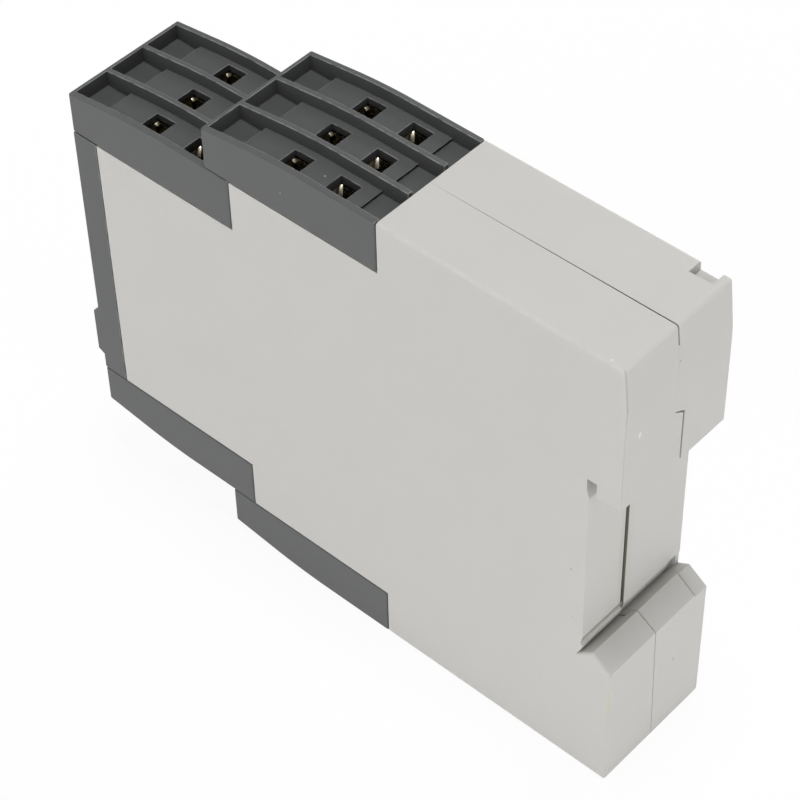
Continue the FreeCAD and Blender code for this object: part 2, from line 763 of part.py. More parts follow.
def make_transformer():
    y = from_rear(depth - transformer_from_front)
    along, tall, thick = core_size
    wind_along, wind_tall, wind_thick = winding_size
    lift = (wind_thick - thick) / 2
    winding = box(board_face, board_face + wind_thick, y - wind_along / 2, y + wind_along / 2,
                  mid - wind_tall / 2, mid + wind_tall / 2)
    low_face = board_face + lift
    laminations = box(low_face, low_face + thick, y - along / 2, y + along / 2,
                      mid - tall / 2, mid + tall / 2)
    window = box(low_face - winding_fit, low_face + thick + winding_fit, y - along, y + along,
                 mid - tall / 2, mid + tall / 2)
    return Part.makeCompound([winding.cut(window), laminations])


def make_capacitors():
    y = from_rear(depth - capacitor_from_front)
    cans = []
    for h in (-capacitor_from_middle, capacitor_from_middle):
        can = rod(capacitor_r, V(board_face, y, mid + h), V(board_face + capacitor_height, y, mid + h))
        cans.append(can)
    return Part.makeCompound(cans)


# Assembly

def build():
    nodes = {}
    nodes["right_shell"], nodes["left_shell"] = make_shells()
    nodes["rail_spring"] = make_rail_spring()
    nodes["front_bezel"] = make_bezel()
    nodes["light_guides"], nodes["status_leds"] = make_lights()
    for i, z in enumerate(control_rows()):
        nodes["adjuster_knob_%d" % (i + 1)] = make_knob(z)
    nodes["potentiometers"] = make_potentiometers()
    nodes["code_switch_body"], sliders = make_code_switch()
    for i, slider in enumerate(sliders):
        nodes["code_switch_slider_%d" % (i + 1)] = slider
    nodes["front_board"], nodes["main_board"] = make_boards()
    for i, side in enumerate((1, -1)):
        base, cover, magnet, armature = make_relay(mid + side * relay_from_middle)
        name = "output_relay_%d_" % (i + 1)
        nodes[name + "base"] = base
        nodes[name + "cover"] = cover
        nodes[name + "magnet"] = magnet
        nodes[name + "armature"] = armature
    nodes["supply_transformer"] = make_transformer()
    nodes["supply_capacitors"] = make_capacitors()

    block = make_block()
    cage = make_cage()
    screw = make_screw()
    bus_bars = Part.makeCompound([make_bus_bar(i) for i in range(len(columns))])
    tiers = {
        "upper_front": (depth, front_half, False), "upper_rear": (rear_tier_front, tier_half, False),
        "lower_front": (depth, front_half, True), "lower_rear": (rear_tier_front, tier_half, True),
    }
    for tier, place in tiers.items():
        nodes[tier + "_block"] = place_terminal(block, *place)
        nodes[tier + "_bus_bars"] = place_terminal(bus_bars, *place)
        for i, x in enumerate(columns):
            for piece, shape in (("screw", screw), ("cage", cage)):
                moved = shape.copy()
                moved.translate(V(x, 0, 0))
                nodes["%s_%s_%d" % (tier, piece, i + 1)] = place_terminal(moved, *place)
    return nodes


os.makedirs("parts", exist_ok=True)
for node, shape in build().items():
    shape.exportStep("parts/%s.step" % node)
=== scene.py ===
"""Looks of a rail-mounted monitoring relay: eased mouldings, metal clamps, prints, stage and camera."""
import json
import math

import bmesh
import bpy
from mathutils import Matrix, Vector


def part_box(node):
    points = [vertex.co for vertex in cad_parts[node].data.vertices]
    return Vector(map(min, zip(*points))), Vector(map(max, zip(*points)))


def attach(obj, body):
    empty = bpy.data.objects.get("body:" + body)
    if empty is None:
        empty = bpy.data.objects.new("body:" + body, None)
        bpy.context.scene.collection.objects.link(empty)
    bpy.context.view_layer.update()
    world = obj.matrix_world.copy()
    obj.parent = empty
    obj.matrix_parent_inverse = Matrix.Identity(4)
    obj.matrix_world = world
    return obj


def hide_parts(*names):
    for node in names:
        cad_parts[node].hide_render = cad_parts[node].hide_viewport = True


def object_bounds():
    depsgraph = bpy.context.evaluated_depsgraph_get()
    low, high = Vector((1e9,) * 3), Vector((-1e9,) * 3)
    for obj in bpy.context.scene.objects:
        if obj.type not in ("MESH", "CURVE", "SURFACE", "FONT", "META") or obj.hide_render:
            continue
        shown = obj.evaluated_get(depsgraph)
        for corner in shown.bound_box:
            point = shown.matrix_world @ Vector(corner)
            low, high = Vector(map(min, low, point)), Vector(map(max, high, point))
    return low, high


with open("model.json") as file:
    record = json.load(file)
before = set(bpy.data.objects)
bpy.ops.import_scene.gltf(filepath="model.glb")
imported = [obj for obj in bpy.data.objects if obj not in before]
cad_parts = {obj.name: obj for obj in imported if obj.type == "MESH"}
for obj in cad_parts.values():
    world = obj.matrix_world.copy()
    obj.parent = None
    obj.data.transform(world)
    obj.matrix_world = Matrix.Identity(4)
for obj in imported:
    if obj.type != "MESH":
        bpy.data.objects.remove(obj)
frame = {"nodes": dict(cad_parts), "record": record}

mm = 0.001
cad_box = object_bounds()
nodes = frame["nodes"]
slots = {part["node"]: part["material_slot"] for part in frame["record"]["subparts"]}
bodies = {node: body for body, members in frame["record"]["behaviour"]["bodies"].items() for node in members}
rear_face = cad_box[1].y
middle_height = (cad_box[0].z + cad_box[1].z) / 2
tiers = ("upper_front", "upper_rear", "lower_front", "lower_rear")

# Camera, as the photograph was taken
image_width = 800
camera_place = Vector((198.32, 187.72, 321.42)) * mm
camera_aim = Vector((3.138, 5.815, 42.8)) * mm
camera_roll = math.radians(-1.47)
focal_pixels = 2643.0
sensor_width = 36.0

nearest_seen = 0.01

# Lamps: place from the middle of the housing and size in metres, and power in watts
lamps = {
    "overhead_softbox": (Vector((0, 0, 1.2)), 0.3, 6.8),
    "right_softbox": (Vector((0.9, 0.1, 0.2)), 1.2, 7.9),
    "left_softbox": (Vector((-0.9, 0, 0.3)), 1.2, 8.0),
    "front_softbox": (Vector((0, -0.7, 0.3)), 0.6, 1.8),
    "high_rear_softbox": (Vector((0.05, 0.6, 0.3)), 0.5, 0.7),
    "rear_softbox": (Vector((0.1, 0.9, 0.05)), 0.6, 2.0),
}
sky_strength = 0.02
floor_half = 3.0         # metres from its middle to an edge
floor_shade = 0.92
floor_roughness = 0.9
floor_glow = 0.93        # share of plain white where it is seen

# How far a face's normal leans to an axis, from 0 for not at all to 1 for square on
slightly = 0.2
partly = 0.3
mostly = 0.5
square_on = 0.9

# Edge roundings
weld = 0.001 * mm
same_place = 0.02 * mm
sharp_angle = math.radians(35)
flat_angle = math.radians(0.6)
housing_edge = 0.1 * mm
terminal_edge = 0.12 * mm
block_side_edge = 0.3 * mm
pocket_wall = 0.5 * mm       # walls this far inside a block's sides stand in its pockets
# painted shade on the walls down in a block's pockets
pocket_shade = 0.3
metal_edge = 0.08 * mm
small_edge = 0.06 * mm
seam_band = (-1.8 * mm, 2.9 * mm)    # across the width: the shells meet between these, with crisp edges
slot_depth = (5.0 * mm, 8.0 * mm)    # the open slot in the rail seat, behind the rear face

# Carving at the rail foot: depths behind the rear face, heights from the middle
groove_lip = (3.4 * mm, -15.75 * mm)     # tip of the foot
groove_floor = (6.0 * mm, -17.4 * mm)    # bottom of the groove behind it
groove_drop = 0.3 * mm                   # carved this much deeper
groove_reach = 0.3 * mm                  # past its bottom
groove_under = (0.8 * mm, 0.05 * mm)     # what is carved lies this far below and above its slope
scoop_corner = (5.55 * mm, -13.82 * mm)  # inner corner of the scoop above the ridge
scoop_carved = (5.5 * mm, -15.1 * mm)
scoop_span = (-15.2 * mm, -13.6 * mm)
scoop_shades = (                         # from and down to a height, and share of the painted shade colour in the scoop's crease
    (-13.7 * mm, -14.15 * mm, 0.9), (-14.15 * mm, -14.6 * mm, 0.7), (-14.6 * mm, -15.1 * mm, 0.4),
)
scoop_lean = -0.1                        # its upper wall leans down at least this much
ridge_top = -15.0 * mm
ridge_roll = (                           # heights down the ridge, and depths
    (-15.3 * mm, 5.2 * mm), (-15.7 * mm, 5.22 * mm), (-16.1 * mm, 5.3 * mm),
    (-16.6 * mm, 5.45 * mm), (-17.2 * mm, 5.75 * mm), (-17.7 * mm, 6.0 * mm),
)
hook_ledge = (5.7 * mm, 15.7 * mm)       # ledge of the groove below the hook, carved to a ramp
hook_ramp = 17.2 * mm
hook_top = 19.3 * mm
# painted shade in the groove below the hook
hook_shade = 0.35
rear_line_shade = 0.35                   # faint painted shade line down the hook's near edge
foot_seam = (2.07 * mm, 2.25 * mm)       # the seam at the ridge's end, opened to the second
foot_seam_top = -13.6 * mm
cheek_line = (-8.5 * mm, -8.28 * mm)     # painted dark shade line along the foot's cheek
cheek_shade = 0.8
# painted shade on the foot's slope, under the hook
slope_shade = 0.1
slot_foot = (2.4 * mm, -13.0 * mm)       # the slot's lower end lies below and left of this

# Printed scales round the knobs, and the knobs' pointers
dial_ticks = 11
dial_step = math.radians(27)
dial_inner = 4.15 * mm
dial_outer = 4.75 * mm
dial_line = 0.22 * mm
dial_before = 0.1 * mm   # the plate's face lies at least this far before a knob's
pointer_floor = (0.4 * mm, 0.8 * mm)     # depth of the knob's painted slot

# Terminal screws
screw_head = 1.95 * mm   # cut just short of the head's underside
thread_pitch = 0.5 * mm
thread_outer = 1.27 * mm
thread_inner = 1.02 * mm
thread_sides = 24
thread_rows = 6          # rows of vertices in one turn
thread_lead = 0.45 * mm  # tapered tip
thread_tip = 0.7         # share of the width left at the tip

# Inside the housing
wave_period = math.pi / 10   # of Blender's band texture, at scale 1
wire_spacing = 0.22 * mm
sheet_spacing = 0.5 * mm
track_spacing = 1.3 * mm
track_level = 0.6            # of the waves that make tracks
pad_spacing = 2.54 * mm
pad_radius = 0.32            # as a share of the spacing
track_patch = 0.47           # tracks lie where the noise is above this
pad_patch = 0.45             # pads lie where it is below this
flange_reach = 7.5 * mm      # only the relay's coil is as wide
core_reach = 15.0 * mm       # only the transformer's sheets are as long

# Clamping tongues: teeth across their rear faces, and a small ear bent from one top corner
tongue_thick = 0.8 * mm
tongue_pitch = 8.65 * mm
strip_gap = 0.3 * mm         # the strips lie at least this far past the cages
tooth_pitch = 0.36 * mm
tooth_depth = 0.2 * mm
ears = (                     # length, turn, slope, and place behind the tongue
    (0.95 * mm, math.radians(12), math.radians(30), 0.0),
    (1.6 * mm, math.radians(52), math.radians(40), 0.22 * mm),
)
ear_width = 0.6 * mm
ear_thick = 0.16 * mm
ear_round = 0.4 * ear_thick
ear_inset = 0.35 * mm
ear_from_middle = 1.62 * mm


# Shader node helpers

def add_node(tree, kind, values=None, **settings):
    """Adds a node; a value that is a socket is linked, any other is set."""
    made = tree.nodes.new(kind)
    for key, value in settings.items():
        setattr(made, key, value)
    for key, value in (values or {}).items():
        if isinstance(value, bpy.types.NodeSocket):
            tree.links.new(value, made.inputs[key])
        else:
            made.inputs[key].default_value = value
    return made


def new_group(name, inputs, outputs):
    """Empty shader node group with float inputs, given with their defaults, and float outputs."""
    tree = bpy.data.node_groups.new(name, "ShaderNodeTree")
    for label, value in inputs.items():
        tree.interface.new_socket(label, in_out="INPUT", socket_type="NodeSocketFloat").default_value = value
    for label in outputs:
        tree.interface.new_socket(label, in_out="OUTPUT", socket_type="NodeSocketFloat")
    return tree, tree.nodes.new("NodeGroupInput"), tree.nodes.new("NodeGroupOutput")


def calc(tree, operation, *values):
    """Result of one step of arithmetic."""
    return add_node(tree, "ShaderNodeMath", dict(enumerate(values)), operation=operation).outputs[0]


def grain_group():
    """Fine moulded grain, as a height, broad cloudy shade, as a value, and patches where marked edges show
    paler, as wear and painted highlight, as a mask.
    """
    tree, given, result = new_group("moulded_grain", {"Grain Scale": 9000.0, "Cloud Scale": 90.0},
                                    ("Height", "Cloud", "Patch"))
    place = add_node(tree, "ShaderNodeTexCoord").outputs["Object"]
    grain_scale, cloud_scale = given.outputs["Grain Scale"], given.outputs["Cloud Scale"]
    fine = add_node(tree, "ShaderNodeTexNoise",
                    {"Vector": place, "Scale": grain_scale, "Detail": 3.0, "Roughness": 0.6})
    broad = add_node(tree, "ShaderNodeTexNoise",
                     {"Vector": place, "Scale": cloud_scale, "Detail": 4.0, "Roughness": 0.55})
    pale_patches = add_node(tree, "ShaderNodeTexNoise", {"Vector": place, "Scale": 700.0, "Detail": 3.0})
    patch = add_node(tree, "ShaderNodeMapRange",
                     {"Value": pale_patches.outputs["Fac"], "From Min": 0.3, "From Max": 0.55})
    tree.links.new(fine.outputs["Fac"], result.inputs["Height"])
    tree.links.new(broad.outputs["Fac"], result.inputs["Cloud"])
    tree.links.new(patch.outputs[0], result.inputs["Patch"])
    return tree


def mark_group():
    """One soft-edged mark at a place, as a mask; it may be stretched upward."""
    inputs = {"X": 0.0, "Y": 0.0, "Z": 0.0, "Radius": 0.0005, "Tall": 1.0}
    tree, given, result = new_group("single_mark", inputs, ("Mask",))
    place = add_node(tree, "ShaderNodeTexCoord").outputs["Object"]
    centre = add_node(tree, "ShaderNodeCombineXYZ", {axis: given.outputs[axis] for axis in "XYZ"})
    away = add_node(tree, "ShaderNodeVectorMath", {0: place, 1: centre.outputs[0]}, operation="SUBTRACT")
    shape = add_node(tree, "ShaderNodeCombineXYZ", {"X": 1.0, "Y": 1.0, "Z": given.outputs["Tall"]})
    squeezed = add_node(tree, "ShaderNodeVectorMath", {0: away.outputs[0], 1: shape.outputs[0]},
                        operation="DIVIDE")
    distance = add_node(tree, "ShaderNodeVectorMath", {0: squeezed.outputs[0]}, operation="LENGTH")
    share = calc(tree, "DIVIDE", distance.outputs["Value"], given.outputs["Radius"])
    mask = add_node(tree, "ShaderNodeMapRange",
                    {"Value": share, "From Min": 0.4, "From Max": 1.0, "To Min": 1.0, "To Max": 0.0},
                    interpolation_type="SMOOTHSTEP")
    tree.links.new(mask.outputs[0], result.inputs["Mask"])
    return tree


def dial_group():
    """Printed scale round one knob of the front plate, as a mask."""
    tree, given, result = new_group("dial_scale", {"Height": 0.0, "Front": 0.0}, ("Mask",))
    place = add_node(tree, "ShaderNodeTexCoord").outputs["Object"]
    across, along, height = add_node(tree, "ShaderNodeSeparateXYZ", {0: place}).outputs
    rise = calc(tree, "SUBTRACT", height, given.outputs["Height"])
    radius = calc(tree, "SQRT", calc(tree, "ADD", calc(tree, "MULTIPLY", across, across),
                                     calc(tree, "MULTIPLY", rise, rise)))
    angle = calc(tree, "ARCTAN2", across, rise)
    tick = calc(tree, "DIVIDE", angle, dial_step)
    beside = calc(tree, "ABSOLUTE", calc(tree, "SUBTRACT", tick, calc(tree, "ROUND", tick)))
    from_line = calc(tree, "MULTIPLY", calc(tree, "MULTIPLY", beside, dial_step), radius)
    line = calc(tree, "LESS_THAN", from_line, dial_line / 2)
    ring = calc(tree, "COMPARE", radius, (dial_inner + dial_outer) / 2, (dial_outer - dial_inner) / 2)
    reach = calc(tree, "LESS_THAN", calc(tree, "ABSOLUTE", angle), dial_step * (dial_ticks // 2 + 0.3))
    in_front = calc(tree, "LESS_THAN", along, given.outputs["Front"])
    mask = calc(tree, "MULTIPLY", calc(tree, "MULTIPLY", line, ring), calc(tree, "MULTIPLY", reach, in_front))
    tree.links.new(mask, result.inputs["Mask"])
    return tree


moulded_grain = grain_group()
single_mark = mark_group()
dial_scale = dial_group()


def new_material(name):
    """New material, its node tree and its shader."""
    made = bpy.data.materials.new(name)
    made.use_nodes = True
    return made, made.node_tree, made.node_tree.nodes["Principled BSDF"]


def use_group(tree, group, **values):
    """Places a node group in a material; underscores stand for the spaces in its inputs' names."""
    return add_node(tree, "ShaderNodeGroup", {k.replace("_", " "): v for k, v in values.items()},
                    node_tree=group)


def blend_colour(tree, factor, first, second):
    """Colour between two, by a factor."""
    mix = tree.nodes.new("ShaderNodeMix")
    mix.data_type = "RGBA"
    for socket, value in ((mix.inputs[0], factor), (mix.inputs[6], first), (mix.inputs[7], second)):
        if isinstance(value, bpy.types.NodeSocket):
            tree.links.new(value, socket)
        else:
            socket.default_value = value
    return mix.outputs[2]


def spread(tree, value, low, high):
    """Maps 0..1 to low..high."""
    return add_node(tree, "ShaderNodeMapRange", {"Value": value, "To Min": low, "To Max": high}).outputs[0]


def grey(level, tint=(1.0, 1.0, 1.0)):
    """Grey of a level, a little tinted."""
    return (level * tint[0], level * tint[1], level * tint[2], 1.0)


def plastic(name, low, high, roughness, grain=9000.0, relief=0.02, pale_paint=None, patchy=True, painted_shade=None,
            marks=(), dials=()):
    """Moulded plastic between two colours, with grain, pale paint on marked faces (wear and painted highlight
    on edges, print on pointers), painted shade on marked faces, marks, some of them painted shade, and dials.
    """
    made, tree, shader = new_material(name)
    grain_node = use_group(tree, moulded_grain, Grain_Scale=grain)
    colour = blend_colour(tree, grain_node.outputs["Cloud"], low, high)
    # Pale paint: wear and painted highlight on edges, and a knob's printed pointer. Painted shade: darkening
    # painted in slots, creases, on the foot and in pockets.
    for layer, shade in (("edge_highlight_wear_and_print", pale_paint), ("painted_shade_share", painted_shade)):
        if shade:
            share = add_node(tree, "ShaderNodeAttribute", attribute_name=layer).outputs["Fac"]
            if layer == "edge_highlight_wear_and_print" and patchy:
                share = calc(tree, "MULTIPLY", share, grain_node.outputs["Patch"])
            colour = blend_colour(tree, share, colour, shade)
    for place, radius, tall, strength, shade in marks:
        x, y, z = (value * mm for value in place)
        mark = use_group(tree, single_mark, X=x, Y=y, Z=z, Radius=radius * mm, Tall=tall)
        colour = blend_colour(tree, spread(tree, mark.outputs["Mask"], 0.0, strength), colour, shade)
    for height, front in dials:
        scale = use_group(tree, dial_scale, Height=height, Front=front)
        colour = blend_colour(tree, scale.outputs["Mask"], colour, grey(0.7))
    bump = add_node(tree, "ShaderNodeBump",
                    {"Height": grain_node.outputs["Height"], "Strength": 0.5, "Distance": relief * mm})
    tree.links.new(colour, shader.inputs["Base Color"])
    tree.links.new(spread(tree, grain_node.outputs["Cloud"], roughness - 0.05, roughness + 0.05),
                   shader.inputs["Roughness"])
    tree.links.new(bump.outputs[0], shader.inputs["Normal"])
    return made


def metal(name, low, high, roughness, stretch=(1.0, 1.0, 8.0), specks=None):
    """Plated or rolled metal with drawn streaks, and bright specks if given a colour for them."""
    made, tree, shader = new_material(name)
    place = add_node(tree, "ShaderNodeTexCoord").outputs["Object"]
    drawn = add_node(tree, "ShaderNodeMapping", {"Vector": place, "Scale": stretch})
    streaks = add_node(tree, "ShaderNodeTexNoise",
                       {"Vector": drawn.outputs[0], "Scale": 1800.0, "Detail": 4.0, "Roughness": 0.6})
    stain = add_node(tree, "ShaderNodeTexNoise", {"Vector": place, "Scale": 500.0, "Detail": 3.0})
    bump = add_node(tree, "ShaderNodeBump",
                    {"Height": streaks.outputs["Fac"], "Strength": 0.3, "Distance": 0.01 * mm})
    colour = blend_colour(tree, stain.outputs["Fac"], low, high)
    if specks:
        fine = add_node(tree, "ShaderNodeTexNoise", {"Vector": place, "Scale": 3500.0, "Detail": 2.0})
        spots = add_node(tree, "ShaderNodeMapRange",
                         {"Value": fine.outputs["Fac"], "From Min": 0.56, "From Max": 0.66})
        colour = blend_colour(tree, spots.outputs[0], colour, specks)
    tree.links.new(colour, shader.inputs["Base Color"])
    tree.links.new(spread(tree, streaks.outputs["Fac"], roughness - 0.08, roughness + 0.08),
                   shader.inputs["Roughness"])
    tree.links.new(bump.outputs[0], shader.inputs["Normal"])
    shader.inputs["Metallic"].default_value = 1.0
    return made


def striped(name, low, high, roughness, direction, spacing, metallic=0.0):
    """Fine parallel lines, such as wound wire or stacked sheets."""
    made, tree, shader = new_material(name)
    place = add_node(tree, "ShaderNodeTexCoord").outputs["Object"]
    lines = add_node(tree, "ShaderNodeTexWave",
                     {"Vector": place, "Scale": wave_period / spacing, "Distortion": 0.4, "Detail": 2.0},
                     wave_type="BANDS", bands_direction=direction)
    bump = add_node(tree, "ShaderNodeBump",
                    {"Height": lines.outputs["Fac"], "Strength": 0.8, "Distance": spacing / 3})
    tree.links.new(blend_colour(tree, lines.outputs["Fac"], low, high), shader.inputs["Base Color"])
    tree.links.new(spread(tree, lines.outputs["Fac"], roughness + 0.1, roughness), shader.inputs["Roughness"])
    tree.links.new(bump.outputs[0], shader.inputs["Normal"])
    shader.inputs["Metallic"].default_value = metallic
    return made


def board_laminate(name):
    """Green board with paler tracks and tinned pads."""
    made, tree, shader = new_material(name)
    place = add_node(tree, "ShaderNodeTexCoord").outputs["Object"]
    patches = add_node(tree, "ShaderNodeTexNoise", {"Vector": place, "Scale": 160.0, "Detail": 1.0})
    waves = add_node(tree, "ShaderNodeTexWave", {"Vector": place, "Scale": wave_period / track_spacing},
                     wave_type="BANDS", bands_direction="Z")
    tracks = calc(tree, "MULTIPLY", calc(tree, "GREATER_THAN", waves.outputs["Fac"], track_level),
                  calc(tree, "GREATER_THAN", patches.outputs["Fac"], track_patch))
    dots = add_node(tree, "ShaderNodeTexVoronoi",
                    {"Vector": place, "Scale": 1 / pad_spacing, "Randomness": 0.0})
    pads = calc(tree, "MULTIPLY", calc(tree, "LESS_THAN", dots.outputs["Distance"], pad_radius),
                calc(tree, "LESS_THAN", patches.outputs["Fac"], pad_patch))
    colour = blend_colour(tree, tracks, (0.02, 0.12, 0.05, 1), (0.04, 0.2, 0.09, 1))
    tree.links.new(blend_colour(tree, pads, colour, grey(0.6)), shader.inputs["Base Color"])
    tree.links.new(pads, shader.inputs["Metallic"])
    bump = add_node(tree, "ShaderNodeBump", {"Height": tracks, "Strength": 0.5, "Distance": 0.03 * mm})
    tree.links.new(bump.outputs[0], shader.inputs["Normal"])
    shader.inputs["Roughness"].default_value = 0.35
    return made


warm = (1.0, 0.982, 0.94)
olive = (1.0, 0.98, 0.86)
cool = (0.97, 1.0, 0.99)
dark_low, dark_high = grey(0.0885, cool), grey(0.0975, cool)

# Marks: place in millimetres, radius, stretch upward, strength, colour
housing_marks_and_slot_shade = (
    ((8.06, 52.45, 72.11), 0.42, 1.7, 0.8, grey(0.78, warm)),
    ((10.58, 49.17, 85.6), 0.32, 1.0, 0.7, grey(0.74, warm)),
    ((11.25, 44.72, 42.2), 0.22, 1.3, 0.6, grey(0.25, warm)),
    ((11.25, 45.27, 32.2), 0.2, 1.2, 0.35, grey(0.25, warm)),
    ((-4.21, 52.45, 13.89), 0.22, 2.2, 0.6, grey(0.25, warm)),
    ((0.12, 52.4, 79.55), 0.22, 1.4, 0.6, grey(0.25, warm)),
    ((11.1, 52.39, 18.4), 0.5, 10.0, 0.5, (0.6, 0.56, 0.42, 1)),
    # painted shade on both sides of the rail seat's slot
    ((3.0, 47.25, 40.0), 0.9, 16.0, 0.3, (0.42, 0.41, 0.33, 1)),
    ((1.4, 47.25, 40.0), 0.9, 16.0, 0.22, (0.5, 0.47, 0.35, 1)),
)
terminal_marks = (
    ((7.0, -3.43, 83.5), 0.16, 1.0, 0.9, grey(0.6)),
    ((11.25, -8.02, 80.6), 0.14, 1.0, 0.8, grey(0.55)),
)
finishes = {
    "light_grey_plastic": plastic("light_grey_moulding", grey(0.565, warm), grey(0.59, warm), 0.45,
                                  pale_paint=grey(0.6, warm), painted_shade=grey(0.26, olive), marks=housing_marks_and_slot_shade),
    "dark_grey_plastic": plastic("dark_grey_moulding", dark_low, dark_high, 0.5, relief=0.03,
                                 pale_paint=grey(0.23, cool), painted_shade=grey(0.04, cool), marks=terminal_marks),
    "zinc_steel": metal("bright_zinc", grey(0.62), grey(0.72), 0.3),
    "yellow_passivated_steel": metal("yellow_passivated", (0.03, 0.03, 0.024, 1), (0.2, 0.19, 0.14, 1), 0.4,
                                     specks=(0.8, 0.72, 0.5, 1)),
    "tinned_brass": metal("rolled_brass", (0.6, 0.51, 0.37, 1), (0.9, 0.82, 0.68, 1), 0.35),
    "spring_steel": metal("spring_steel", grey(0.45), grey(0.55), 0.25, (8.0, 1.0, 1.0)),
    "clear_plastic": plastic("frosted_light_guide", grey(0.8), grey(0.86), 0.25, relief=0.005),
    "led_plastic": plastic("diode_resin", (0.75, 0.8, 0.72, 1), (0.84, 0.86, 0.8, 1), 0.2, relief=0.005),
    "knob_plastic": plastic("knob_black", grey(0.022), grey(0.03), 0.5, relief=0.03,
                            pale_paint=grey(0.75), patchy=False),
    "component_plastic": plastic("component_black", grey(0.025), grey(0.035), 0.45),
    "white_plastic": plastic("slider_white", grey(0.72), grey(0.8), 0.4),
    "circuit_board": board_laminate("board_laminate"),
    "relay_cover_plastic": plastic("relay_cover_black", grey(0.02), grey(0.028), 0.3),
    "relay_magnet": metal("magnet_iron", grey(0.4), grey(0.52), 0.4),
    "transformer_steel": plastic("winding_tape", (0.5, 0.33, 0.04, 1), (0.6, 0.42, 0.07, 1), 0.4),
    "capacitor_can": plastic("capacitor_sleeve", (0.03, 0.03, 0.06, 1), (0.04, 0.04, 0.08, 1), 0.3),
}

knob_boxes = [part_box("adjuster_knob_%d" % i) for i in (1, 2, 3)]
dials = [((low.z + high.z) / 2, low.y - dial_before) for low, high in knob_boxes]
front_plate = plastic("front_plate", dark_low, dark_high, 0.5, relief=0.03, pale_paint=grey(0.2, cool), dials=dials)
coil_wire = striped("coil_wire", (0.3, 0.09, 0.03, 1), (0.62, 0.24, 0.1, 1), 0.3, "Y", wire_spacing, 1.0)
stacked_sheets = striped("stacked_sheets", grey(0.12), grey(0.3), 0.4, "X", sheet_spacing, 1.0)
can_top = metal("can_top", grey(0.55), grey(0.68), 0.35)
# darker, rougher copy of the strip brass: painted shade that tones down the strips' highlight
shaded_strip_brass = metal("shaded_strip_brass", (0.17, 0.14, 0.09, 1), (0.32, 0.26, 0.17, 1), 0.55)


# Pieces

def mesh_piece(name, bm, materials, node):
    """Finished piece with the given finishes, which rides with a node's body in place of the node, now
    hidden.
    """
    bmesh.ops.dissolve_degenerate(bm, dist=weld, edges=bm.edges)
    for face in bm.faces:
        face.smooth = True
    for edge in bm.edges:
        edge.smooth = len(edge.link_faces) == 2 and edge.calc_face_angle() < sharp_angle
    mesh = bpy.data.meshes.new(name)
    bm.to_mesh(mesh)
    bm.free()
    piece = bpy.data.objects.new(name, mesh)
    bpy.context.scene.collection.objects.link(piece)
    for material in materials:
        mesh.materials.append(material)
    normals = piece.modifiers.new("even_normals", "WEIGHTED_NORMAL")
    normals.keep_sharp = True
    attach(piece, bodies[node])
    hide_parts(node)


def welded_form(node):
    """Copy of a node's shape, with its facets joined and its flat faces made whole."""
    bm = bmesh.new()
    bm.from_mesh(nodes[node].data)
    bmesh.ops.remove_doubles(bm, verts=bm.verts, dist=weld)
    bmesh.ops.dissolve_limit(bm, angle_limit=flat_angle, verts=bm.verts, edges=bm.edges)
    bmesh.ops.recalc_face_normals(bm, faces=bm.faces)
    return bm


def outer_edges(bm):
    """Edges that stand out, which a mould leaves rounded; inner corners stay crisp."""
    return [e for e in bm.edges
            if len(e.link_faces) == 2 and e.is_convex and e.calc_face_angle() > sharp_angle]


def each_once(parts):
    """Parts of a mesh in their order, which a set would shuffle from run to run."""
    return list(dict.fromkeys(parts))


def number_chains(bm, chosen):
    """Gives the outer edges that hang together one number, and returns the layer and the count."""
    layer = bm.edges.layers.int.get("chain") or bm.edges.layers.int.new("chain")
    left = dict.fromkeys(e for e in outer_edges(bm) if chosen(e))
    count = 0
    while left:
        count += 1
        found = [left.popitem()[0]]
        for edge in found:
            edge[layer] = count
            for other in each_once(e for v in edge.verts for e in v.link_edges if e in left):
                left.pop(other)
                found.append(other)
    return layer, count


def ease(bm, size, chosen=lambda edge: True, clamp=True, segments=2):
    """Rounds the outer edges, chain by chain, and marks the new faces for pale paint, which stands for wear
    and a painted highlight.
    """
    pale_paint = bm.faces.layers.float.get("edge_highlight_wear_and_print") or bm.faces.layers.float.new("edge_highlight_wear_and_print")
    layer, count = number_chains(bm, chosen)
    for number in range(1, count + 1):
        made = bmesh.ops.bevel(bm, geom=[e for e in bm.edges if e[layer] == number], offset=size,
                               offset_type="OFFSET", affect="EDGES", segments=segments, profile=0.5,
                               clamp_overlap=clamp, material=-1)
        for face in made["faces"]:
            face[pale_paint] = 1.0
    bm.edges.layers.int.remove(layer)


def in_seam(edge):
    """Where the shells meet."""
    return all(seam_band[0] < v.co.x < seam_band[1] for v in edge.verts)


def from_rear(place):
    """Depth behind the rear face, and height from the middle."""
    return rear_face - place.y, place.z - middle_height


def cut_faces(bm, chosen, place, normal):
    """Cuts the chosen faces along a plane."""
    geom = each_once(part for f in bm.faces if chosen(f) for part in [f, *f.edges, *f.verts])
    bmesh.ops.bisect_plane(bm, geom=geom, plane_co=place, plane_no=normal, dist=weld)


def cut_levels(bm, levels, chosen):
    """Cuts the chosen faces at heights from the middle."""
    for level in levels:
        cut_faces(bm, chosen, (0, 0, middle_height + level), (0, 0, 1))


def on_foot_slope(face):
    """The foot's slope, which faces up and back."""
    height = from_rear(face.calc_center_median())[1]
    return face.normal.y > partly and face.normal.z > partly and height < groove_lip[1]


def carve_groove(bm):
    """Carves the groove behind the foot's tip deeper."""
    width, fall = groove_floor[0] - groove_lip[0], groove_floor[1] - groove_lip[1]
    below, above = groove_under
    for v in bm.verts:
        depth, height = from_rear(v.co)
        share = (depth - groove_lip[0]) / width
        floor = groove_lip[1] + fall * share
        if 0 < share and depth < groove_floor[0] + groove_reach and floor - below < height < floor + above:
            v.co.z -= groove_drop * min(1.0, share)


